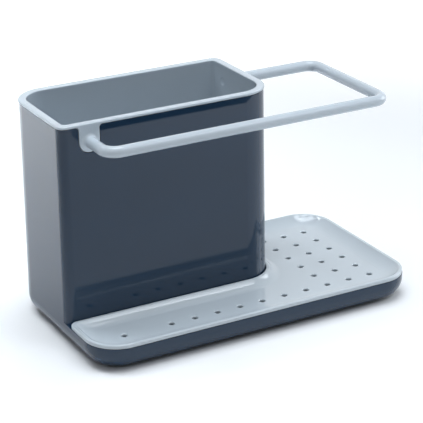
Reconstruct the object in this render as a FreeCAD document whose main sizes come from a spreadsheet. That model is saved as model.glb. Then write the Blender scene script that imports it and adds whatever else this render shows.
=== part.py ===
"""Kitchen sink caddy: outer body, lift-out liner with its hanging rail, divider, drip tray and feet.

Millimetres, +Z up. The origin is the middle of the footprint, on the surface that the caddy stands on.
+X runs along the long side towards the open end of the drip tray, and +Y points to the back.
"""
import FreeCAD
import Part
import Sketcher
import math
import operator
import os

SIZES = {
    # Outer body: a shallow base, and a tall holder on its back left corner
    "corner_radius": 20.5,
    "base_edge_radius": 11.2,
    "base_band": 2.8,
    "base_wall": 2.2,
    "base_floor": 2.2,
    "sump_tip_radius": 4.0,
    "tight_corner_radius": 6.0,
    "holder_width": 138.6,
    "holder_depth": 73.1,
    "holder_height": 116.5,
    "holder_top_inset": 0.8,
    "holder_wall": 2.2,
    "well_bevel": 6.0,
    # Clearances that several pieces share
    "seat_gap": 0.3,
    "overrun": 4.0,
    # Feet, pressed into round recesses of the base
    "foot_height": 0.6,
    "foot_radius": 5.0,
    "foot_recess": 1.2,
    "foot_inset": 24.0,
    "foot_edge": 0.4,
    # Liner: a drained tub that hangs in the holder by its rim
    "liner_gap": 0.4,
    "liner_foot_inset": 0.8,
    "liner_wall": 1.7,
    "liner_floor": 2.0,
    "liner_lift": 4.8,
    "liner_edge_radius": 1.6,
    "rim_thickness": 1.6,
    "rim_overhang": 0.4,
    "rim_edge": 0.7,
    "drain_radius": 2.1,
    "drain_pitch": 15.0,
    "drain_inset": 10.0,
    # Tabs of the liner that carry the rail, each in a notch of the holder's wall
    "tab_width": 12.4,
    "tab_flare": 2.0,
    "tab_gap": 0.4,
    "tab_edge": 0.5,
    "sink_radius": 2.8,
    "sink_depth": 0.2,
    # Hanging rail, a round bar from the front tab to the right tab
    "rail_diameter": 6.6,
    "rail_drop": 10.6,
    "rail_root": 18.8,
    "rail_front_reach": 22.4,
    "rail_right_reach": 60.0,
    "rail_back_inset": 16.1,
    "rail_bend_radius": 8.0,
    "rail_blend": 1.8,
    # Divider, dropped between pairs of ribs inside the liner
    "divider_thickness": 2.0,
    "divider_place": 32.8,
    "divider_drop": 32.0,
    "divider_gap": 0.4,
    "divider_foot_radius": 3.0,
    "divider_top_radius": 2.5,
    "divider_edge": 0.8,
    "rib_width": 1.2,
    "rib_depth": 1.4,
    "rib_drop": 4.0,
    # Drip tray: an L of a field beside the holder and a strip before it, dished up to a lip on all sides
    "field_width": 71.2,
    "strip_depth": 42.7,
    "lip_inset": 0.2,
    "lip_edge": 2.2,
    "lip_height": 4.1,
    "crest_width": 2.0,
    "crest_round": 0.8,
    "dish_run": 10.0,
    "holder_run": 6.8,
    "tray_floor": 1.5,
    "tray_gap": 0.5,
    "tip_radius": 5.0,
    "hole_radius": 1.65,
    "hole_edge": 0.75,
    "hole_pitch": 15.0,
    "hole_right_inset": 20.7,
    "hole_front_inset": 19.5,
    "hole_holder_inset": 18.0,
}

# How much of each step inwards a tight corner's radius gives up
TIGHT_INSET_SHARE = 0.75
# The round inside the liner's foot, next to the radius of its tight corners
INSIDE_EDGE_SHARE = 0.6
# The dish's concave slope, from its floor to its crest
DISH_RUN_SHARES = (0.0, 0.37, 0.71, 1.0)
DISH_RISE_SHARES = (0.0, 0.12, 0.46, 1.0)
# How far out under the slope the tray's underside stays flat
UNDERSIDE_SHARE = 0.65
# How much of the step from the rail to its root disc the blend takes up
ROOT_BLEND_SHARE = 0.98

XY, XZ, YZ = "XY_Plane", "XZ_Plane", "YZ_Plane"
# Two places this close are the same
TOUCH = 1e-4
SIGNS = {"+": operator.add, "-": operator.sub, "*": operator.mul, "/": operator.truediv}


class Length:
    """A size in millimetres, together with the sheet expression that gives it."""

    def __init__(self, number, text):
        self.number = number
        self.text = text

    def joined(self, sign, other):
        if not isinstance(other, Length):
            other = Length(other, repr(other))
        return Length(SIGNS[sign](self.number, other.number), f"({self.text} {sign} {other.text})")

    def __add__(self, other):
        return self.joined("+", other)

    def __sub__(self, other):
        return self.joined("-", other)

    def __mul__(self, factor):
        return self.joined("*", factor)

    def __truediv__(self, factor):
        return self.joined("/", factor)

    def __neg__(self):
        return Length(-self.number, f"(-{self.text})")


doc = FreeCAD.newDocument("sink_caddy")
sheet = doc.addObject("Spreadsheet::Sheet", "Sizes")
for row, (name, number) in enumerate(SIZES.items(), start=1):
    sheet.set(f"A{row}", name)
    sheet.set(f"B{row}", str(number))
    sheet.setAlias(f"B{row}", name)
doc.recompute()

size = {name: Length(number, f"Sizes.{name}") for name, number in SIZES.items()}
ZERO = Length(0.0, "0")
OVERRUN = size["overrun"]


# Levels above the surface that the caddy stands on

base_under = size["foot_height"]
base_inside = base_under + size["base_floor"]
well_bend = base_inside + size["well_bevel"]
sump_bend = base_under + size["base_edge_radius"]
base_top = sump_bend + size["base_band"]
holder_top = base_top + size["holder_height"]
rim_under = holder_top + size["seat_gap"]
rim_top = rim_under + size["rim_thickness"]
liner_under = base_inside + size["liner_lift"]
liner_inside = liner_under + size["liner_floor"]
rail_level = rim_top - size["rail_drop"]
divider_top = rim_top - size["divider_drop"]
lip_under = base_top + size["seat_gap"]
lip_top = lip_under + size["lip_edge"]
tray_top = lip_top - size["lip_height"]
tray_under = tray_top - size["tray_floor"]


# Outlines in plan

class Box:
    """A rounded rectangle seen from above, whose front left and back right corners can be tighter."""

    def __init__(self, left, front, right, back, radius, tight=None):
        self.left = left
        self.front = front
        self.right = right
        self.back = back
        self.radius = radius
        self.tight = tight or radius

    def inset(self, step, tight=None):
        """The rectangle a step further in on every side, with tight corners that can be given."""
        return Box(self.left + step, self.front + step, self.right - step, self.back - step,
                   self.radius - step, tight or self.tight - step * TIGHT_INSET_SHARE)

    def corners(self):
        """Corners in turn, anticlockwise, each with its radius."""
        return [(self.left, self.front, self.tight), (self.right, self.front, self.radius),
                (self.right, self.back, self.tight), (self.left, self.back, self.radius)]

    def outside(self, spot):
        """How far a point lies outside the outline, seen from above."""
        aside = spot.x - (self.left + self.right).number / 2
        ahead = spot.y - (self.front + self.back).number / 2
        r = (self.tight if aside * ahead > 0 else self.radius).number
        across = abs(aside) - (self.right - self.left).number / 2
        along = abs(ahead) - (self.back - self.front).number / 2
        return math.hypot(max(across + r, 0), max(along + r, 0)) - r


base_width = size["holder_width"] + size["field_width"]
base_depth = size["holder_depth"] + size["strip_depth"]
half_width = base_width / 2
half_depth = base_depth / 2
base = Box(-half_width, -half_depth, half_width, half_depth, size["corner_radius"])
holder = Box(base.left, base.back - size["holder_depth"],
             base.left + size["holder_width"], base.back, base.radius, size["tight_corner_radius"])
holder_rim = holder.inset(size["holder_top_inset"])
well = holder_rim.inset(size["holder_wall"])
well_foot = well.inset(size["well_bevel"], well.tight)
liner_mouth = well.inset(size["liner_gap"])
liner_foot = liner_mouth.inset(size["liner_foot_inset"])
inside_mouth = liner_mouth.inset(size["liner_wall"])
inside_foot = liner_foot.inset(size["liner_wall"])
rim = holder_rim.inset(-size["rim_overhang"])

rail_x = holder.left + size["rail_root"]
rail_front = holder.front - size["rail_front_reach"]
rail_right = holder.right + size["rail_right_reach"]
rail_back = holder.back - size["rail_back_inset"]
rail_radius = size["rail_diameter"] / 2
tab_half = size["tab_width"] / 2
divider_x = holder.right - size["divider_place"]
divider_half = size["divider_thickness"] / 2


def around_holder(edge, aside, tip):
    """L-shaped outline that stays an edge inside the base, aside of the holder, with rounded tips."""
    r = base.radius - edge
    left = base.left + edge
    front = base.front + edge
    right = base.right - edge
    back = base.back - edge
    beside = holder.right + aside
    before = holder.front - aside
    return [(left, front, r), (right, front, r), (right, back, r),
            (beside, back, tip), (beside, before, holder.radius + aside), (left, before, tip)]


# Sketches and features

def new_body(label):
    """A sub-part of its own."""
    body = doc.addObject("PartDesign::Body", label)
    body.Label = label
    return body


def bind(thing, path, length):
    """Tie one property of a feature to the sheet."""
    thing.setExpression(path, length.text)


def attach(thing, body, plane):
    """Lay a sketch or a primitive on one of the body's own origin planes."""
    support = [item for item in body.Origin.OriginFeatures if item.Role == plane]
    thing.AttachmentSupport = [(support[0], "")]
    thing.MapMode = "FlatFace"


def new_sketch(body, name, plane, level=ZERO):
    """An empty sketch on one of the body's own origin planes, lifted along the plane's normal."""
    sketch = body.newObject("Sketcher::SketchObject", name)
    attach(sketch, body, plane)
    sketch.AttachmentOffset = FreeCAD.Placement(FreeCAD.Vector(0, 0, level.number), FreeCAD.Rotation())
    bind(sketch, "AttachmentOffset.Base.z", level)
    return sketch


def hold(sketch, kind, *where, length):
    """Add a dimension to a sketch and tie it to the sheet."""
    index = sketch.addConstraint(Sketcher.Constraint(kind, *where, length.number))
    bind(sketch, f"Constraints[{index}]", length)


def point(x, y):
    """A point of a sketch."""
    return FreeCAD.Vector(x, y, 0)


def arc_about(x, y, radius, start, end):
    """Anticlockwise arc between two angles in radians."""
    return Part.ArcOfCircle(Part.Circle(point(x, y), FreeCAD.Vector(0, 0, 1), radius), start, end)


def heading(start, end):
    """Unit step along the sketch axis on which two points lie further apart."""
    across = end[0] - start[0]
    up = end[1] - start[1]
    if abs(across) > abs(up):
        return math.copysign(1, across), 0
    return 0, math.copysign(1, up)


def draw_route(sketch, corners, closed=True):
    """Straight runs along the sketch's axes, with a tangent arc at each corner.

    An open route starts and ends at its first and last points, which have no arc.
    """
    spots = [(x.number, y.number) for x, y, radius in corners]
    count = len(corners)
    runs = [(i, (i + 1) % count) for i in range(count if closed else count - 1)]
    headings = [heading(spots[i], spots[j]) for i, j in runs]
    starts = list(spots)
    ends = list(spots)
    bends = list(range(count) if closed else range(1, count - 1))
    for i in bends:
        x, y = spots[i]
        radius = corners[i][2].number
        coming = headings[i - 1]
        going = headings[i]
        ends[i] = (x - radius * coming[0], y - radius * coming[1])
        starts[i] = (x + radius * going[0], y + radius * going[1])
    lines = []
    for (i, j), (across, up) in zip(runs, headings):
        line = sketch.addGeometry(Part.LineSegment(point(*starts[i]), point(*ends[j])), False)
        sketch.addConstraint(Sketcher.Constraint("Horizontal" if across else "Vertical", line))
        kind, length = ("DistanceY", corners[i][1]) if across else ("DistanceX", corners[i][0])
        hold(sketch, kind, line, 1, length=length)
        lines.append(line)
    for i in bends:
        coming = headings[i - 1]
        going = headings[i]
        left_turn = coming[0] * going[1] - coming[1] * going[0] > 0
        first, last = (ends[i], starts[i]) if left_turn else (starts[i], ends[i])
        middle = (first[0] + last[0] - spots[i][0], first[1] + last[1] - spots[i][1])
        from_angle = math.atan2(first[1] - middle[1], first[0] - middle[0])
        to_angle = math.atan2(last[1] - middle[1], last[0] - middle[0])
        arc = sketch.addGeometry(arc_about(*middle, corners[i][2].number, from_angle, to_angle), False)
        sketch.addConstraint(Sketcher.Constraint("Tangent", lines[i - 1], 2, arc, 1 if left_turn else 2))
        sketch.addConstraint(Sketcher.Constraint("Tangent", lines[i], 1, arc, 2 if left_turn else 1))
        hold(sketch, "Radius", arc, length=corners[i][2])
    if not closed:
        for line, vertex, corner, (across, up) in ((lines[0], 1, corners[0], headings[0]),
                                                   (lines[-1], 2, corners[-1], headings[-1])):
            kind, length = ("DistanceX", corner[0]) if across else ("DistanceY", corner[1])
            hold(sketch, kind, line, vertex, length=length)


def draw_circle(sketch, x, y, radius):
    """A circle about a point."""
    shape = Part.Circle(point(x.number, y.number), FreeCAD.Vector(0, 0, 1), radius.number)
    circle = sketch.addGeometry(shape, False)
    hold(sketch, "DistanceX", circle, 3, length=x)
    hold(sketch, "DistanceY", circle, 3, length=y)
    hold(sketch, "Radius", circle, length=radius)


def draw_tongue(sketch, middle, level, half, flare, shoulder, top):
    """A tongue with a round lower end about the rail, flared where it runs into the rim."""
    c, z, h, f, s, t = [item.number for item in (middle, level, half, flare, shoulder, top)]
    across = sketch.addGeometry(Part.LineSegment(point(c + h + f, t), point(c - h - f, t)), False)
    left_top = sketch.addGeometry(Part.LineSegment(point(c - h - f, t), point(c - h - f, s)), False)
    left_flare = sketch.addGeometry(arc_about(c - h - f, s - f, f, 0, math.pi / 2), False)
    left_side = sketch.addGeometry(Part.LineSegment(point(c - h, s - f), point(c - h, z)), False)
    end = sketch.addGeometry(arc_about(c, z, h, math.pi, 2 * math.pi), False)
    right_side = sketch.addGeometry(Part.LineSegment(point(c + h, z), point(c + h, s - f)), False)
    right_flare = sketch.addGeometry(arc_about(c + h + f, s - f, f, math.pi / 2, math.pi), False)
    right_top = sketch.addGeometry(Part.LineSegment(point(c + h + f, s), point(c + h + f, t)), False)
    for first, last in (((across, 2), (left_top, 1)), ((left_top, 2), (left_flare, 2)),
                        ((right_top, 1), (right_flare, 1)), ((right_top, 2), (across, 1))):
        sketch.addConstraint(Sketcher.Constraint("Coincident", *first, *last))
    for first, last in (((left_flare, 1), (left_side, 1)), ((left_side, 2), (end, 1)),
                        ((end, 2), (right_side, 1)), ((right_side, 2), (right_flare, 2))):
        sketch.addConstraint(Sketcher.Constraint("Tangent", *first, *last))
    sketch.addConstraint(Sketcher.Constraint("Horizontal", across))
    for line in (left_top, left_side, right_side, right_top):
        sketch.addConstraint(Sketcher.Constraint("Vertical", line))
    sketch.addConstraint(Sketcher.Constraint("Vertical", left_flare, 3, left_flare, 2))
    sketch.addConstraint(Sketcher.Constraint("Vertical", right_flare, 3, right_flare, 1))
    hold(sketch, "DistanceX", end, 3, length=middle)
    hold(sketch, "DistanceY", end, 3, length=level)
    hold(sketch, "Radius", end, length=half)
    hold(sketch, "Radius", left_flare, length=flare)
    hold(sketch, "Radius", right_flare, length=flare)
    hold(sketch, "DistanceY", across, 1, length=top)
    hold(sketch, "DistanceY", left_flare, 2, length=shoulder)
    hold(sketch, "DistanceY", right_flare, 1, length=shoulder)


def outline_sketch(body, name, level, *outlines):
    """A sketch of closed outlines at one level."""
    sketch = new_sketch(body, name, XY, level)
    for corners in outlines:
        draw_route(sketch, corners)
    return sketch


def extrude(body, kind, name, sketch, length, backwards=False):
    """A pad or a pocket of a sketch, over a length."""
    feature = body.newObject(f"PartDesign::{kind}", name)
    feature.Profile = sketch
    feature.Length = length.number
    bind(feature, "Length", length)
    feature.Reversed = backwards
    doc.recompute()
    return feature


def loft(body, kind, name, sketches):
    """A loft through outlines, in turn."""
    feature = body.newObject(f"PartDesign::{kind}", name)
    feature.Profile = sketches[0]
    feature.Sections = sketches[1:]
    feature.Ruled = len(sketches) == 2
    doc.recompute()
    return feature


def round_edges(body, name, radius, wanted):
    """A fillet on the tip's edges for which the test holds."""
    tip = body.Tip
    names = [f"Edge{i}" for i, edge in enumerate(tip.Shape.Edges, start=1) if wanted(edge)]
    feature = body.newObject("PartDesign::Fillet", name)
    feature.Base = (tip, names)
    feature.Radius = radius.number
    bind(feature, "Radius", radius)
    doc.recompute()
    return feature


def level_at(level):
    """Test for an edge that lies flat at a level."""
    return lambda edge: all(abs(z - level.number) < TOUCH for z in (edge.BoundBox.ZMin, edge.BoundBox.ZMax))


# Outer body

body = new_body("outer_body")
extrude(body, "Pad", "base_block", outline_sketch(body, "base_outline", base_under, base.corners()),
        base_top - base_under)
loft(body, "AdditiveLoft", "holder_block",
     [outline_sketch(body, "holder_foot", base_top, holder.corners()),
      outline_sketch(body, "holder_mouth", holder_top, holder_rim.corners())])
extrude(body, "Pocket", "holder_well", outline_sketch(body, "well_outline", holder_top, well.corners()),
        holder_top - well_bend)
loft(body, "SubtractiveLoft", "well_slope",
     [outline_sketch(body, "well_bend", well_bend, well.corners()),
      outline_sketch(body, "well_floor", base_inside, well_foot.corners())])
sump_mouth = around_holder(size["base_wall"], ZERO, size["sump_tip_radius"])
sump_foot = around_holder(size["base_edge_radius"], ZERO, size["sump_tip_radius"])
extrude(body, "Pocket", "sump_band", outline_sketch(body, "sump_mouth", base_top, sump_mouth),
        size["base_band"])
loft(body, "SubtractiveLoft", "sump_slope",
     [outline_sketch(body, "sump_bend", sump_bend, sump_mouth),
      outline_sketch(body, "sump_floor", base_inside, sump_foot)])
round_edges(body, "base_edge", size["base_edge_radius"], level_at(base_under))
notch = (rail_level, tab_half + size["tab_gap"], size["tab_flare"] - size["tab_gap"],
         rim_under - size["tab_gap"], holder_top + OVERRUN)
notch_depth = size["holder_wall"] + size["holder_top_inset"] + OVERRUN * 2
front_notch = new_sketch(body, "front_notch", XZ, OVERRUN - holder.front)
draw_tongue(front_notch, rail_x, *notch)
extrude(body, "Pocket", "front_notch_cut", front_notch, notch_depth)
right_notch = new_sketch(body, "right_notch", YZ, holder.right + OVERRUN)
draw_tongue(right_notch, rail_back, *notch)
extrude(body, "Pocket", "right_notch_cut", right_notch, notch_depth)
foot_x = half_width - size["foot_inset"]
foot_y = half_depth - size["foot_inset"]
FEET = {"foot_front_left": (-foot_x, -foot_y), "foot_front_right": (foot_x, -foot_y),
        "foot_back_left": (-foot_x, foot_y), "foot_back_right": (foot_x, foot_y)}
recesses = new_sketch(body, "foot_recesses", XY, base_under)
for x, y in FEET.values():
    draw_circle(recesses, x, y, size["foot_radius"])
extrude(body, "Pocket", "foot_recess_cut", recesses, size["foot_recess"], backwards=True)


# Feet

for label, (x, y) in FEET.items():
    foot = new_body(label)
    disc = new_sketch(foot, f"{label}_outline", XY)
    draw_circle(disc, ZERO, ZERO, size["foot_radius"])
    extrude(foot, "Pad", f"{label}_disc", disc, size["foot_height"] + size["foot_recess"])
    round_edges(foot, f"{label}_edge", size["foot_edge"], level_at(ZERO))
    foot.Placement = FreeCAD.Placement(FreeCAD.Vector(x.number, y.number, 0), FreeCAD.Rotation())
    bind(foot, "Placement.Base.x", x)
    bind(foot, "Placement.Base.y", y)


# Liner

liner = new_body("liner")
loft(liner, "AdditiveLoft", "tub",
     [outline_sketch(liner, "tub_foot", liner_under, liner_foot.corners()),
      outline_sketch(liner, "tub_mouth", rim_under, liner_mouth.corners())])
rim_blank = rim.inset(-OVERRUN)
extrude(liner, "Pad", "rim_block", outline_sketch(liner, "rim_blank", rim_under, rim_blank.corners()),
        size["rim_thickness"])
tab = (rail_level, tab_half, size["tab_flare"], rim_under, rim_under + size["rim_thickness"] / 2)
tab_depth = notch_depth + size["liner_gap"] + size["liner_wall"]
front_tab = new_sketch(liner, "front_tab", XZ, OVERRUN - holder.front)
draw_tongue(front_tab, rail_x, *tab)
extrude(liner, "Pad", "front_tab_block", front_tab, tab_depth, backwards=True)
right_tab = new_sketch(liner, "right_tab", YZ, holder.right + OVERRUN)
draw_tongue(right_tab, rail_back, *tab)
extrude(liner, "Pad", "right_tab_block", right_tab, tab_depth, backwards=True)
extrude(liner, "Pocket", "rim_trim",
        outline_sketch(liner, "rim_outline", rim_top, rim.corners(), rim_blank.inset(-OVERRUN).corners()),
        size["rail_drop"] + size["tab_width"])
loft(liner, "SubtractiveLoft", "tub_inside",
     [outline_sketch(liner, "inside_mouth", rim_top, inside_mouth.corners()),
      outline_sketch(liner, "inside_foot", liner_inside, inside_foot.corners())])
round_edges(liner, "inside_edge", inside_foot.tight * INSIDE_EDGE_SHARE, level_at(liner_inside))
round_edges(liner, "tub_edge", size["liner_edge_radius"], level_at(liner_under))
round_edges(liner, "rim_round", size["rim_edge"], level_at(rim_top))


def below_rim_face(edge):
    """Test for a lower edge of the rim's outer face, round the tabs too."""
    middle = edge.valueAt((edge.FirstParameter + edge.LastParameter) / 2)
    return edge.BoundBox.ZMax < rim_under.number + TOUCH and abs(rim.outside(middle)) < TOUCH


round_edges(liner, "tab_round", size["tab_edge"], below_rim_face)
# Shallow sink marks inside the walls, where the rail's roots shrank: the end of an ellipsoid each
sink_paths = ("Radius1", "Radius2", "Radius3",
              "AttachmentOffset.Base.x", "AttachmentOffset.Base.y", "AttachmentOffset.Base.z")
sink_half = size["sink_depth"] * 2
front_sink = (size["sink_radius"], size["sink_radius"], sink_half,
              rail_x, inside_mouth.front + size["sink_depth"], rail_level)
right_sink = (size["sink_radius"], sink_half, size["sink_radius"],
              inside_mouth.right - size["sink_depth"], rail_back, rail_level)
for label, lengths in (("front_sink", front_sink), ("right_sink", right_sink)):
    sink = liner.newObject("PartDesign::SubtractiveEllipsoid", label)
    attach(sink, liner, XY)
    for path, length in zip(sink_paths, lengths):
        bind(sink, path, length)
    doc.recompute()
ribs = new_sketch(liner, "ribs", XY, liner_inside)
rib_start = divider_half + size["divider_gap"]
rib_round = size["rib_width"] / 4
for side in (-1, 1):
    inner = divider_x + rib_start * side
    outer = inner + size["rib_width"] * side
    low, high = (outer, inner) if side < 0 else (inner, outer)
    for wall, tip in ((liner_foot.front + size["liner_wall"] / 2, inside_foot.front + size["rib_depth"]),
                      (inside_foot.back - size["rib_depth"], liner_foot.back - size["liner_wall"] / 2)):
        draw_route(ribs, Box(low, wall, high, tip, rib_round).corners())
extrude(liner, "Pad", "rib_posts", ribs, divider_top - size["rib_drop"] - liner_inside)


def fit_count(span, near, far, pitch):
    """How many holes fit along a span, with an inset left free at the near and the far end."""
    return 1 + int((span - near - far).number / pitch.number)


drains = new_sketch(liner, "drains", XY, liner_inside)
drain_fit = (size["drain_inset"], size["drain_inset"], size["drain_pitch"])
drain_y = (inside_foot.front + inside_foot.back) / 2
rows = fit_count(inside_foot.back - inside_foot.front, *drain_fit)
for left, right in ((inside_foot.left, divider_x), (divider_x, inside_foot.right)):
    columns = fit_count(right - left, *drain_fit)
    for i in range(columns):
        for j in range(rows):
            draw_circle(drains, (left + right) / 2 + size["drain_pitch"] * (i - (columns - 1) / 2),
                        drain_y + size["drain_pitch"] * (j - (rows - 1) / 2), size["drain_radius"])
extrude(liner, "Pocket", "drain_holes", drains, size["liner_floor"] + OVERRUN)


# Hanging rail

rail = new_body("hanging_rail")
rail_start = holder_rim.front + OVERRUN
rail_end = holder_rim.right - OVERRUN
bend = size["rail_bend_radius"]
route = new_sketch(rail, "rail_route", XY, rail_level)
draw_route(route, [(rail_x, rail_start, ZERO), (rail_x, rail_front, bend), (rail_right, rail_front, bend),
                   (rail_right, rail_back, bend), (rail_end, rail_back, ZERO)], closed=False)
section = new_sketch(rail, "rail_section", XZ, -rail_start)
draw_circle(section, rail_x, rail_level, rail_radius)
doc.recompute()
bar = rail.newObject("PartDesign::AdditivePipe", "rail_bar")
bar.Profile = section
bar.Spine = (route, [f"Edge{i}" for i in range(1, len(route.Shape.Edges) + 1)])
doc.recompute()
root_radius = rail_radius + size["rail_blend"] / ROOT_BLEND_SHARE
front_root = new_sketch(rail, "front_root", XZ, -rail_start)
draw_circle(front_root, rail_x, rail_level, root_radius)
extrude(rail, "Pad", "front_root_disc", front_root, rail_start - rim.front)
right_root = new_sketch(rail, "right_root", YZ, rail_end)
draw_circle(right_root, rail_back, rail_level, root_radius)
extrude(rail, "Pad", "right_root_disc", right_root, rim.right - rail_end)


def at_root(edge):
    """Test for the circle where the bar leaves one of its root discs."""
    box = edge.BoundBox
    round_one = abs(box.ZLength - size["rail_diameter"].number) < TOUCH
    at_front = abs(box.YMin - rim.front.number) < TOUCH and box.YLength < TOUCH
    at_right = abs(box.XMin - rim.right.number) < TOUCH and box.XLength < TOUCH
    return round_one and (at_front or at_right)


round_edges(rail, "root_blend", size["rail_blend"], at_root)
extrude(rail, "Pocket", "root_trim",
        outline_sketch(rail, "root_trim_outline", rail_level + root_radius + OVERRUN, rim.corners()),
        (root_radius + OVERRUN) * 2)


# Divider

divider = new_body("divider")
panel = new_sketch(divider, "panel_outline", YZ, divider_x - divider_half)
panel_front = inside_foot.front + size["divider_gap"]
panel_back = inside_foot.back - size["divider_gap"]
panel_foot = liner_inside + size["seat_gap"]
draw_route(panel, [(panel_front, panel_foot, size["divider_foot_radius"]),
                   (panel_back, panel_foot, size["divider_foot_radius"]),
                   (panel_back, divider_top, size["divider_top_radius"]),
                   (panel_front, divider_top, size["divider_top_radius"])])
extrude(divider, "Pad", "panel", panel, size["divider_thickness"])
round_edges(divider, "panel_edge", size["divider_edge"], lambda edge: edge.BoundBox.XLength < TOUCH)


# Drip tray

tray = new_body("drip_tray")
tip = size["tip_radius"]
lip = around_holder(size["lip_inset"], size["tray_gap"], tip)
extrude(tray, "Pad", "lip_block", outline_sketch(tray, "lip_outline", lip_under, lip), size["lip_edge"])


def slope_outline(share):
    """Outline at a share of the slope, counted from the crest in; the slope is shorter beside the holder."""
    outer_run = size["crest_width"] + size["dish_run"] * share
    holder_run = size["crest_width"] + size["holder_run"] * share
    return around_holder(size["lip_inset"] + outer_run, size["tray_gap"] + holder_run, tip)


skirt = size["base_wall"] + size["tray_gap"]
loft(tray, "AdditiveLoft", "tray_bottom",
     [outline_sketch(tray, "bottom_outline", tray_under, slope_outline(UNDERSIDE_SHARE)),
      outline_sketch(tray, "skirt_outline", lip_under, around_holder(skirt, size["tray_gap"], tip))])
slope = []
for run_share, rise_share in zip(DISH_RUN_SHARES, DISH_RISE_SHARES):
    level = tray_top + size["lip_height"] * rise_share
    slope.append(outline_sketch(tray, f"dish_{len(slope)}", level, slope_outline(1 - run_share)))
loft(tray, "SubtractiveLoft", "dish", slope)
round_edges(tray, "crest", size["crest_round"], level_at(lip_top))
holes = new_sketch(tray, "holes", XY, tray_top)
hole_pitch = size["hole_pitch"]
right_inset = size["hole_right_inset"]
front_inset = size["hole_front_inset"]
hole_x = base.right - right_inset
hole_y = base.front + front_inset
field_columns = fit_count(size["field_width"], right_inset, size["hole_holder_inset"], hole_pitch)
field_rows = fit_count(base_depth, front_inset, front_inset, hole_pitch)
front_columns = fit_count(base_width, right_inset, right_inset, hole_pitch)
bare_column = front_columns - 2
field = [(i, j) for i in range(field_columns) for j in range(1, field_rows)]
front_row = [(i, 0) for i in range(front_columns) if i != bare_column]
for i, j in field + front_row:
    draw_circle(holes, hole_x - hole_pitch * i, hole_y + hole_pitch * j, size["hole_radius"])
extrude(tray, "Pocket", "hole_cut", holes, size["tray_floor"] + OVERRUN)


def at_hole(edge):
    """Test for the circle where a hole opens in the tray's floor."""
    across = abs(edge.BoundBox.XLength - size["hole_radius"].number * 2) < TOUCH
    return across and level_at(tray_top)(edge)


round_edges(tray, "hole_rounds", size["hole_edge"], at_hole)


# Check every feature, then write each sub-part

doc.recompute()
for item in doc.Objects:
    if "Invalid" in item.State or "Error" in item.State:
        raise RuntimeError(f"{item.Name} failed: {item.State}")
os.makedirs("parts", exist_ok=True)
for item in doc.Objects:
    if item.TypeId != "PartDesign::Body":
        continue
    shape = item.Shape
    if shape.isNull() or not shape.isValid() or len(shape.Solids) != 1:
        raise RuntimeError(f"{item.Label} is not one sound solid")
    shape.exportStep(f"parts/{item.Label}.step")
    print(f"{item.Label}: {shape.Volume:.0f} mm3")
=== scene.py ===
"""Dress the sink caddy as moulded plastic and stand it on a pale floor under soft studio light."""
import logging
import math
from dataclasses import dataclass
from enum import Enum
from typing import Any, Callable

import bmesh
import bpy
from mathutils import Matrix, Vector


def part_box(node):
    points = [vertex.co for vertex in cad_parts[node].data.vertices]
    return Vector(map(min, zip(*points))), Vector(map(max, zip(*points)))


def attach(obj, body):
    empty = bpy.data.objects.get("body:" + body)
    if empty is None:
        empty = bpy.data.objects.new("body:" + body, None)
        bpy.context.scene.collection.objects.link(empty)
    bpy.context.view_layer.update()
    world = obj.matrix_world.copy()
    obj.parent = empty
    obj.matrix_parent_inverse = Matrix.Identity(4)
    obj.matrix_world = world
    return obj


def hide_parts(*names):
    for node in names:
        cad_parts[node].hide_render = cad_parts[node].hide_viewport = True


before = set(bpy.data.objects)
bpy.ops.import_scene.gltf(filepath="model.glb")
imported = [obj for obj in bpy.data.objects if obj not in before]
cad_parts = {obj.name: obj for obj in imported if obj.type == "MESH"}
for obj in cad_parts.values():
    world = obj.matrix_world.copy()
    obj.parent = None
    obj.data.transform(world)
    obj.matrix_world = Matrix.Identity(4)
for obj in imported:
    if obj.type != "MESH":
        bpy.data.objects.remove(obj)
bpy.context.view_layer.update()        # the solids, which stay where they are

LOG = logging.getLogger("sink_caddy")

PHOTO_WIDTH_PX = 423
SENSOR_MM = 36.0
MM_PER_METRE = 1000.0
# The tilt of a camera that looks level, in degrees; at none it looks straight down.
LEVEL_TILT = 90.0
# A face whose normal lies lower than this looks down.
FACING_DOWN = -0.5
# The Mix node's outputs are a number, a vector and then a colour.
MIXED_COLOUR = 2
# How far noise is broken up: clouds and patches a good deal, grains a little, and slow waves not at all.
CLOUD_DETAIL = 3.0
HAZE_DETAIL = 4.0
BLOOM_DETAIL = 5.0
GRAIN_DETAIL = 2.0
WAVE_DETAIL = 0.0
WHITE = "#ffffff"

Colour = tuple[float, float, float, float]


class Body(str, Enum):
    """The bodies of the caddy that new pieces ride on."""

    ROOT = "root"


class Slot(str, Enum):
    """The record's material slots, which this script does not use."""

    FOOT_RUBBER = "foot_rubber"


class Node(str, Enum):
    """The solids of the caddy, by the names of their nodes."""

    OUTER_BODY = "outer_body"
    LINER = "liner"
    HANGING_RAIL = "hanging_rail"
    DIVIDER = "divider"
    DRIP_TRAY = "drip_tray"
    FOOT_FRONT_LEFT = "foot_front_left"
    FOOT_FRONT_RIGHT = "foot_front_right"
    FOOT_BACK_LEFT = "foot_back_left"
    FOOT_BACK_RIGHT = "foot_back_right"


class SeenBy(str, Enum):
    """The rays that see the white background, by the outputs of the Light Path node."""

    CAMERA = "Is Camera Ray"
    GLOSSY = "Is Glossy Ray"
    TRANSMISSION = "Is Transmission Ray"


FEET = (Node.FOOT_FRONT_LEFT, Node.FOOT_FRONT_RIGHT, Node.FOOT_BACK_LEFT, Node.FOOT_BACK_RIGHT)


def linear(hex_colour: str) -> Colour:
    """Turn an sRGB hex colour into a linear colour, by the curve of the sRGB standard.

    Args:
        hex_colour: Six hex digits after a hash sign.

    Returns:
        Red, green, blue and alpha, each from 0 to 1.
    """
    parts = [int(hex_colour[at:at + 2], 16) / 255 for at in (1, 3, 5)]
    red, green, blue = [v / 12.92 if v <= 0.04045 else ((v + 0.055) / 1.055) ** 2.4 for v in parts]
    return red, green, blue, 1.0


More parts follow.
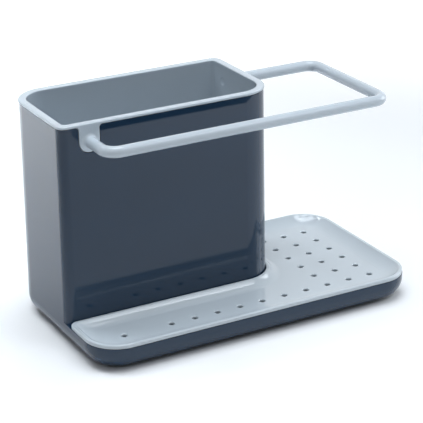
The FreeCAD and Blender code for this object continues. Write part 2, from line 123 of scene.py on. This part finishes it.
def per_metre(size_mm: float) -> float:
    """Return the texture scale at which one feature is that many millimetres wide."""
    return MM_PER_METRE / size_mm


def add_node(tree: bpy.types.NodeTree, kind: str, settings: dict[str, Any] | None = None,
             links: dict[str, bpy.types.NodeSocket] | None = None) -> bpy.types.Node:
    """Add a node to a tree, set it up and link it.

    Args:
        tree: The node tree of a material or of the world.
        kind: The node's type name.
        settings: Values of its inputs, by identifier, or of its own properties.
        links: Sockets that feed its inputs, by the input's identifier.

    Returns:
        The new node.
    """
    node = tree.nodes.new(kind)
    for name, value in (settings or {}).items():
        if hasattr(node, name):
            setattr(node, name, value)
    inputs = {socket.identifier: socket for socket in node.inputs}
    for name, value in (settings or {}).items():
        if name in inputs:
            inputs[name].default_value = value
    for name, socket in (links or {}).items():
        tree.links.new(socket, inputs[name])
    return node


def new_material(name: str) -> tuple[bpy.types.Material, bpy.types.NodeTree, bpy.types.NodeSocket]:
    """Start an empty node material.

    Args:
        name: The material's name.

    Returns:
        The material, its node tree, and the socket of its Object coordinates.
    """
    material = bpy.data.materials.new(name)
    material.use_nodes = True
    tree = material.node_tree
    tree.nodes.clear()
    place = add_node(tree, "ShaderNodeTexCoord").outputs["Object"]
    return material, tree, place


@dataclass(frozen=True)
class MouldedPlastic:
    """ABS that was moulded in a steel tool, with the tool's polish on it.

    Attributes:
        name: The material's name.
        colour: The plastic's own colour.
        flow_colour: Its colour where the pigment lies a little thinner.
        flow_mm: The width of the clouds between the two.
        polish: The lowest and highest roughness over the surface.
        haze_mm: The width of the patches of different polish.
        wave_mm: The length of the slow waves that shrinkage leaves in the wall.
        wave_depth_mm: The depth of those waves.
        grain_mm: The width of the grains that the tool's surface leaves.
        grain_depth_mm: The depth of those grains.
        ior: The index of refraction, about 1.54 in ABS.
        sheen: The strength of its reflections; 0.5 is that of a clean surface.
    """

    name: str
    colour: str
    flow_colour: str
    flow_mm: float
    polish: tuple[float, float]
    haze_mm: float
    wave_mm: float
    wave_depth_mm: float
    grain_mm: float
    grain_depth_mm: float
    ior: float = 1.54
    sheen: float = 0.5

    def build(self) -> bpy.types.Material:
        """Build the plastic's nodes.

        Returns:
            The material.
        """
        material, tree, place = new_material(self.name)
        flow = add_node(tree, "ShaderNodeTexNoise", {
            "Scale": per_metre(self.flow_mm), "Detail": CLOUD_DETAIL,
        }, {"Vector": place})
        colour = add_node(tree, "ShaderNodeMix", {
            "data_type": "RGBA", "A_Color": linear(self.colour), "B_Color": linear(self.flow_colour),
        }, {"Factor_Float": flow.outputs["Fac"]})
        haze = add_node(tree, "ShaderNodeTexNoise", {
            "Scale": per_metre(self.haze_mm), "Detail": HAZE_DETAIL,
        }, {"Vector": place})
        lowest, highest = self.polish
        roughness = add_node(tree, "ShaderNodeMapRange", {"To Min": lowest, "To Max": highest},
                             {"Value": haze.outputs["Fac"]})
        wave = add_node(tree, "ShaderNodeTexNoise", {
            "Scale": per_metre(self.wave_mm), "Detail": WAVE_DETAIL,
        }, {"Vector": place})
        wavy = add_node(tree, "ShaderNodeBump", {"Distance": self.wave_depth_mm / MM_PER_METRE},
                        {"Height": wave.outputs["Fac"]})
        grain = add_node(tree, "ShaderNodeTexNoise", {
            "Scale": per_metre(self.grain_mm), "Detail": GRAIN_DETAIL,
        }, {"Vector": place})
        grainy = add_node(tree, "ShaderNodeBump", {"Distance": self.grain_depth_mm / MM_PER_METRE},
                          {"Height": grain.outputs["Fac"], "Normal": wavy.outputs["Normal"]})
        shader = add_node(tree, "ShaderNodeBsdfPrincipled", {
            "IOR": self.ior, "Specular IOR Level": self.sheen,
        }, {
            "Base Color": colour.outputs[MIXED_COLOUR],
            "Roughness": roughness.outputs["Result"],
            "Normal": grainy.outputs["Normal"],
        })
        add_node(tree, "ShaderNodeOutputMaterial", links={"Surface": shader.outputs["BSDF"]})
        return material


@dataclass(frozen=True)
class SoftRubber:
    """Matt rubber with a fine grain, as pressed into a pad.

    Attributes:
        name: The material's name.
        colour: The rubber's own colour.
        dusty_colour: Its colour where chalky bloom lies on it.
        bloom_mm: The width of the patches of bloom.
        grain_mm: The width of its grains.
        grain_depth_mm: Their depth.
        roughness: The roughness of its surface.
        ior: The index of refraction, about 1.5 in rubber.
    """

    name: str
    colour: str
    dusty_colour: str
    bloom_mm: float
    grain_mm: float
    grain_depth_mm: float
    roughness: float
    ior: float = 1.5

    def build(self) -> bpy.types.Material:
        """Build the rubber's nodes.

        Returns:
            The material.
        """
        material, tree, place = new_material(self.name)
        bloom = add_node(tree, "ShaderNodeTexNoise", {
            "Scale": per_metre(self.bloom_mm), "Detail": BLOOM_DETAIL,
        }, {"Vector": place})
        colour = add_node(tree, "ShaderNodeMix", {
            "data_type": "RGBA", "A_Color": linear(self.colour), "B_Color": linear(self.dusty_colour),
        }, {"Factor_Float": bloom.outputs["Fac"]})
        grain = add_node(tree, "ShaderNodeTexNoise", {
            "Scale": per_metre(self.grain_mm), "Detail": GRAIN_DETAIL,
        }, {"Vector": place})
        grainy = add_node(tree, "ShaderNodeBump", {"Distance": self.grain_depth_mm / MM_PER_METRE},
                          {"Height": grain.outputs["Fac"]})
        shader = add_node(tree, "ShaderNodeBsdfPrincipled", {"IOR": self.ior, "Roughness": self.roughness}, {
            "Base Color": colour.outputs[MIXED_COLOUR],
            "Normal": grainy.outputs["Normal"],
        })
        add_node(tree, "ShaderNodeOutputMaterial", links={"Surface": shader.outputs["BSDF"]})
        return material


# Dark slate ABS from a mirror-polished tool: a deep even blue under a sharp, slightly wavy reflection.
DARK_ABS = MouldedPlastic(
    name="dark_slate_gloss_abs", colour="#163047", flow_colour="#18344d", flow_mm=42.0,
    polish=(0.05, 0.09), haze_mm=18.0, wave_mm=34.0, wave_depth_mm=0.012,
    grain_mm=1.4, grain_depth_mm=0.0004, sheen=0.42,
)
# Pale blue-grey ABS from a satin tool: soft reflections that blur a few millimetres from what they mirror.
PALE_ABS = MouldedPlastic(
    name="pale_grey_satin_abs", colour="#c5cfd7", flow_colour="#c9d3db", flow_mm=26.0,
    polish=(0.08, 0.13), haze_mm=9.0, wave_mm=22.0, wave_depth_mm=0.01,
    grain_mm=0.9, grain_depth_mm=0.001,
)
# The same ABS from the tray's own batch, a little greyer: its flat floor shows the satin as a broad glare.
TRAY_ABS = MouldedPlastic(
    name="tray_grey_satin_abs", colour="#c3ccd2", flow_colour="#c7d0d6", flow_mm=30.0,
    polish=(0.07, 0.12), haze_mm=9.0, wave_mm=26.0, wave_depth_mm=0.01,
    grain_mm=0.9, grain_depth_mm=0.001, sheen=0.58,
)
# Dark thermoplastic rubber: hardly a reflection, only a dull grain.
FOOT_RUBBER = SoftRubber(
    name="dark_matt_rubber", colour="#191a1c", dusty_colour="#26282b", bloom_mm=3.0,
    grain_mm=0.5, grain_depth_mm=0.02, roughness=0.7,
)


def select_faces(mesh: bpy.types.Mesh, wanted: Callable[[bmesh.types.BMFace], bool]) -> None:
    """Select faces of the mesh in edit mode, and nothing else.

    Args:
        mesh: The mesh in edit mode.
        wanted: The test for a face.
    """
    bpy.ops.mesh.select_mode(type="FACE")
    bpy.ops.mesh.select_all(action="DESELECT")
    for face in bmesh.from_edit_mesh(mesh).faces:
        if wanted(face):
            face.select_set(True)
    bmesh.update_edit_mesh(mesh)


def select_edges(mesh: bpy.types.Mesh, wanted: Callable[[bmesh.types.BMEdge], bool]) -> None:
    """Select edges of the mesh in edit mode, and nothing else.

    Args:
        mesh: The mesh in edit mode.
        wanted: The test for an edge.
    """
    bpy.ops.mesh.select_mode(type="EDGE")
    bpy.ops.mesh.select_all(action="DESELECT")
    for edge in bmesh.from_edit_mesh(mesh).edges:
        if wanted(edge):
            edge.select_set(True)
    bmesh.update_edit_mesh(mesh)


def raise_selected(height: float) -> None:
    """Extrude the selected faces straight up by a height in metres."""
    bpy.ops.mesh.extrude_region_move(TRANSFORM_OT_translate={"value": (0.0, 0.0, height)})


def dress(node: Node, material: bpy.types.Material) -> None:
    """Give a solid its material.

    Args:
        node: The solid.
        material: The material for its whole surface.
    """
    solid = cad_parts[node.value]
    solid.data.materials.clear()
    solid.data.materials.append(material)
    LOG.info("dressed %s in %s", node.value, material.name)


@dataclass
class OuterBody:
    """The base and the tall holder, in one moulding.

    Attributes:
        finish: Its plastic.
    """

    finish: MouldedPlastic = DARK_ABS

    def dress(self) -> None:
        """Give the moulding its gloss."""
        dress(Node.OUTER_BODY, self.finish.build())


@dataclass
class Liner:
    """The lift-out tub with the hanging rail on its tabs, and the divider in it.

    Attributes:
        finish: The plastic that all three share.
    """

    finish: MouldedPlastic = PALE_ABS

    def dress(self) -> None:
        """Give the tub, its rail and its divider their satin."""
        plastic = self.finish.build()
        for node in (Node.LINER, Node.HANGING_RAIL, Node.DIVIDER):
            dress(node, plastic)


@dataclass
class DripTray:
    """The dished tray with its drain holes.

    Attributes:
        finish: Its plastic.
    """

    finish: MouldedPlastic = TRAY_ABS

    def dress(self) -> None:
        """Give the tray its satin."""
        dress(Node.DRIP_TRAY, self.finish.build())


@dataclass
class RubberFeet:
    """Four round rubber pads, each with a groove round its sole and a gate mark in its middle.

    Sizes are in metres and angles in degrees. The radius, the height and the places are those of the
    plain solids.

    Attributes:
        rim_width: The width of the sole's outer rim.
        groove_width: The width of the groove inside the rim.
        groove_depth: Its depth.
        gate_radius: The radius of the gate mark.
        gate_depth: Its depth.
        sole_round: The round of the sole's outer edge.
        sole_steps: The number of facets across that round.
        edge_round: The round of the other edges.
        edge_steps: The number of facets across those rounds.
        crease_angle: The angle past which an edge is rounded.
        smooth_angle: The angle up to which the shading runs on over an edge.
        segments: The number of sides of each ring.
        finish: The rubber.
    """

    rim_width: float = 0.0011
    groove_width: float = 0.0009
    groove_depth: float = 0.00045
    gate_radius: float = 0.0007
    gate_depth: float = 0.0003
    sole_round: float = 0.0004
    sole_steps: int = 4
    edge_round: float = 0.00012
    edge_steps: int = 2
    crease_angle: float = 50.0
    smooth_angle: float = 35.0
    segments: int = 64
    finish: SoftRubber = FOOT_RUBBER

    def build(self) -> list[bpy.types.Object]:
        """Model one pad and put a copy in the place of each plain solid.

        Returns:
            The four pads.
        """
        model = self.model_pad(*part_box(FEET[0].value))
        model.data.materials.append(self.finish.build())
        pads = []
        for node in FEET:
            low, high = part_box(node.value)
            middle = (low + high) / 2
            pad = bpy.data.objects.new(f"{node.value}_pad", model.data.copy())
            pad.data.transform(Matrix.Translation((middle.x, middle.y, low.z)))
            bpy.context.scene.collection.objects.link(pad)
            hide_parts(node.value)
            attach(pad, Body.ROOT.value)
            LOG.info("modelled %s", pad.name)
            pads.append(pad)
        bpy.data.objects.remove(model)
        return pads

    def model_pad(self, low: Vector, high: Vector) -> bpy.types.Object:
        """Model one pad that stands on the origin.

        Args:
            low: The lowest corner of its plain solid.
            high: The highest corner of its plain solid.

        Returns:
            The pad, with its sole at the bottom.
        """
        radius = (high.x - low.x) / 2
        height = high.z - low.z
        bpy.ops.object.select_all(action="DESELECT")
        bpy.ops.mesh.primitive_cylinder_add(vertices=self.segments, radius=radius, depth=height,
                                            location=(0.0, 0.0, height / 2))
        bpy.ops.object.transform_apply(location=True, rotation=True, scale=True)
        pad = bpy.context.object
        bpy.ops.object.mode_set(mode="EDIT")
        self.cut_sole(pad.data, radius)
        self.round_sole(pad.data, radius)
        bpy.ops.object.mode_set(mode="OBJECT")
        self.soften(pad)
        return pad

    def cut_sole(self, mesh: bpy.types.Mesh, radius: float) -> None:
        """Cut the gate mark and the groove into the sole.

        Args:
            mesh: The pad's mesh in edit mode.
            radius: The pad's radius.
        """
        groove_out = radius - self.rim_width
        groove_in = groove_out - self.groove_width
        select_faces(mesh, lambda face: face.normal.z < FACING_DOWN)
        bpy.ops.mesh.inset(thickness=self.rim_width)
        bpy.ops.mesh.inset(thickness=self.groove_width)
        bpy.ops.mesh.inset(thickness=groove_in - self.gate_radius)
        raise_selected(self.gate_depth)
        select_faces(mesh, lambda face: face.normal.z < FACING_DOWN
                     and groove_in < face.calc_center_median().xy.length < groove_out)
        raise_selected(self.groove_depth)

    def round_sole(self, mesh: bpy.types.Mesh, radius: float) -> None:
        """Round the sole's outer edge.

        Args:
            mesh: The pad's mesh in edit mode.
            radius: The pad's radius.
        """
        select_edges(mesh, lambda edge: all(
            corner.co.z < self.edge_round and corner.co.xy.length > radius - self.edge_round
            for corner in edge.verts))
        bpy.ops.mesh.bevel(offset=self.sole_round, segments=self.sole_steps, affect="EDGES")

    def soften(self, pad: bpy.types.Object) -> None:
        """Round the pad's other edges and shade it smooth.

        Args:
            pad: The pad, active and in object mode.
        """
        softened = pad.modifiers.new("softened", "BEVEL")
        softened.width = self.edge_round
        softened.segments = self.edge_steps
        softened.limit_method = "ANGLE"
        softened.angle_limit = math.radians(self.crease_angle)
        bpy.ops.object.modifier_apply(modifier=softened.name)
        bpy.ops.object.shade_smooth_by_angle(angle=math.radians(self.smooth_angle))


@dataclass
class Softbox:
    """A square lamp that looks at a point.

    Attributes:
        name: The lamp's name.
        place: Its middle, in metres.
        target: The point that it faces, in metres.
        side: The side of its square, in metres.
        level: How a full beam lights a white card at the target that faces it; at 1 the card renders white.
        spread: The angle of its beam, in degrees; 180 is the full beam, and a narrower one is brighter.
        colour: The colour of its light, a cool white.
    """

    name: str
    place: tuple[float, float, float]
    target: tuple[float, float, float]
    side: float
    level: float
    spread: float = 180.0
    colour: str = "#f1f8ff"

    def build(self) -> bpy.types.Object:
        """Hang the lamp in its place.

        Returns:
            The lamp.
        """
        way = Vector(self.target) - Vector(self.place)
        data = bpy.data.lights.new(self.name, "AREA")
        data.shape = "SQUARE"
        data.size = self.side
        data.spread = math.radians(self.spread)
        data.color = linear(self.colour)[:3]
        data.energy = self.level * (math.pi * way.length) ** 2
        lamp = bpy.data.objects.new(self.name, data)
        lamp.location = self.place
        lamp.rotation_mode = "QUATERNION"
        lamp.rotation_quaternion = way.to_track_quat("-Z", "Y")
        bpy.context.scene.collection.objects.link(lamp)
        LOG.info("hung %s", self.name)
        return lamp


@dataclass
class Studio:
    """The pale floor, the white surroundings and the lamps.

    Attributes:
        floor_side: The side of the floor, in metres.
        floor_colour: The floor's colour.
        floor_glow: The strength of a white glow painted on the floor near the object, for the camera and
            reflections only; 1 is white.
        far_glow: The strength of that painted glow far from the object.
        glow_ring: The distances from the middle between which the first becomes the second, in metres.
        shadow_reach: How far from the object the painted glow fades out, which paints a contact shadow round
            it, in metres.
        sky_level: How bright the surroundings are to rays that light the object; 1 is white.
        backdrop_level: How bright they are to the camera and in reflections; 1 is white.
        softboxes: The lamps.
        shadow_rays: The number of rays that find how near the object is, for that painted contact shadow.
    """

    floor_side: float
    floor_colour: str
    floor_glow: float
    far_glow: float
    glow_ring: tuple[float, float]
    shadow_reach: float
    sky_level: float
    backdrop_level: float
    softboxes: tuple[Softbox, ...]
    shadow_rays: int = 16

    def build(self) -> None:
        """Make the floor, the surroundings and the lamps."""
        self.lay_floor()
        self.light_surroundings()
        for softbox in self.softboxes:
            softbox.build()

    def lay_floor(self) -> None:
        """Lay the floor under the feet, with a glow painted on it for the camera and reflections, faded near
        the object to paint its contact shadow.
        """
        bpy.ops.object.select_all(action="DESELECT")
        bpy.ops.mesh.primitive_plane_add(size=self.floor_side)
        floor = bpy.context.object
        floor.name = "floor"
        material, tree, place = new_material("pale_paper")
        paper = add_node(tree, "ShaderNodeBsdfDiffuse", {"Color": linear(self.floor_colour)})
        # Painted contact shadow: the floor's glow is dimmed where the object is near.
        painted_shadow_mask = add_node(tree, "ShaderNodeAmbientOcclusion",
                            {"Distance": self.shadow_reach, "samples": self.shadow_rays})
        away = add_node(tree, "ShaderNodeVectorMath", {"operation": "LENGTH"}, {"Vector": place})
        near, far = self.glow_ring
        # The painted glow is faint near the middle and stronger far out.
        white = add_node(tree, "ShaderNodeMapRange", {
            "interpolation_type": "SMOOTHSTEP", "From Min": near, "From Max": far,
            "To Min": self.floor_glow, "To Max": self.far_glow,
        }, {"Value": away.outputs["Value"]})
        strength = add_node(tree, "ShaderNodeMath", {"operation": "MULTIPLY"},
                            {"Value": painted_shadow_mask.outputs["AO"], "Value_001": white.outputs["Result"]})
        glow = add_node(tree, "ShaderNodeEmission", links={"Strength": strength.outputs["Value"]})
        paper_and_painted_glow = add_node(tree, "ShaderNodeAddShader",
                       links={"Shader": paper.outputs["BSDF"], "Shader_001": glow.outputs["Emission"]})
        mix = add_node(tree, "ShaderNodeMixShader", links={
            "Fac": self.seen_rays(tree), "Shader": paper.outputs["BSDF"], "Shader_001": paper_and_painted_glow.outputs["Shader"],
        })
        add_node(tree, "ShaderNodeOutputMaterial", links={"Surface": mix.outputs["Shader"]})
        floor.data.materials.append(material)

    def light_surroundings(self) -> None:
        """Surround the scene with plain light, white to the camera and to reflections."""
        world = bpy.data.worlds.new("studio")
        bpy.context.scene.world = world
        world.use_nodes = True
        tree = world.node_tree
        tree.nodes.clear()
        lighting = add_node(tree, "ShaderNodeBackground",
                            {"Color": linear(WHITE), "Strength": self.sky_level})
        white = add_node(tree, "ShaderNodeBackground",
                         {"Color": linear(WHITE), "Strength": self.backdrop_level})
        mix = add_node(tree, "ShaderNodeMixShader", links={
            "Fac": self.seen_rays(tree), "Shader": lighting.outputs["Background"],
            "Shader_001": white.outputs["Background"],
        })
        add_node(tree, "ShaderNodeOutputWorld", links={"Surface": mix.outputs["Shader"]})

    def seen_rays(self, tree: bpy.types.NodeTree) -> bpy.types.NodeSocket:
        """Tell the rays that see the white background from the rays that light.

        Args:
            tree: The node tree of the floor or of the world.

        Returns:
            A socket that is 1 for the camera's rays and for reflections, and 0 for rays that light.
        """
        rays = add_node(tree, "ShaderNodeLightPath")
        seen = rays.outputs[SeenBy.CAMERA.value]
        for ray in (SeenBy.GLOSSY, SeenBy.TRANSMISSION):
            either = add_node(tree, "ShaderNodeMath", {"operation": "MAXIMUM"},
                              {"Value": seen, "Value_001": rays.outputs[ray.value]})
            seen = either.outputs["Value"]
        return seen


@dataclass
class PhotoCamera:
    """The camera at the photograph's place.

    Attributes:
        place: Its place, in metres.
        yaw: How far it looks to the right of +Y, in degrees.
        pitch: How far it looks down, in degrees.
        roll: How far it leans, in degrees.
        focal_px: Its focal length, in pixels of the photograph.
    """

    place: tuple[float, float, float]
    yaw: float
    pitch: float
    roll: float
    focal_px: float

    def build(self) -> bpy.types.Object:
        """Set up the scene's camera.

        Returns:
            The camera.
        """
        data = bpy.data.cameras.new("photo_camera")
        data.sensor_width = SENSOR_MM
        data.lens = SENSOR_MM * self.focal_px / PHOTO_WIDTH_PX
        camera = bpy.data.objects.new("photo_camera", data)
        turn = (Matrix.Rotation(-math.radians(self.yaw), 4, "Z")
                @ Matrix.Rotation(math.radians(LEVEL_TILT - self.pitch), 4, "X")
                @ Matrix.Rotation(-math.radians(self.roll), 4, "Z"))
        camera.matrix_world = Matrix.Translation(self.place) @ turn
        bpy.context.scene.collection.objects.link(camera)
        bpy.context.scene.camera = camera
        return camera


# The middle of the caddy's lower part, which the large lamps face.
CADDY_MIDDLE = (0.0, 0.0, 0.05)
STUDIO = Studio(
    floor_side=6.0,
    floor_colour="#f6f6f6",
    # A glow painted on the floor for the camera and reflections: faint near the caddy, faded at its contact
    # to paint a contact shadow, and stronger far away.
    floor_glow=0.11,
    far_glow=0.7,
    glow_ring=(0.32, 0.7),
    shadow_reach=0.03,
    sky_level=0.0,
    backdrop_level=1.0,
    softboxes=(
        Softbox("overhead_softbox", place=(0.0, 0.0, 1.5), target=CADDY_MIDDLE, side=1.0, level=0.9),
        Softbox("right_softbox", place=(1.5, -0.2, 0.5), target=CADDY_MIDDLE, side=0.8, level=0.34),
        Softbox("front_left_softbox", place=(-0.8, -0.7, 1.1), target=CADDY_MIDDLE, side=0.9, level=0.13),
        Softbox("back_left_softbox", place=(-0.45, 0.5, 0.8), target=(-0.28, 0.38, 0.0), side=0.4,
                level=0.22, spread=56.0),
        Softbox("front_right_softbox", place=(0.45, -0.55, 0.8), target=(0.3, -0.4, 0.0), side=0.4,
                level=0.11, spread=70.0),
    ),
)
CAMERA = PhotoCamera(
    place=(-0.43695, -0.79786, 0.43039), yaw=28.544, pitch=22.272, roll=0.83, focal_px=1659.25,
)


def main() -> None:
    """Dress the caddy and set up the studio round it."""
    logging.basicConfig(level=logging.INFO, format="%(message)s")
    bpy.context.scene.view_settings.view_transform = "Standard"
    for part in (OuterBody(), Liner(), DripTray()):
        part.dress()
    RubberFeet().build()
    STUDIO.build()
    CAMERA.build()


if __name__ == "__main__":
    main()
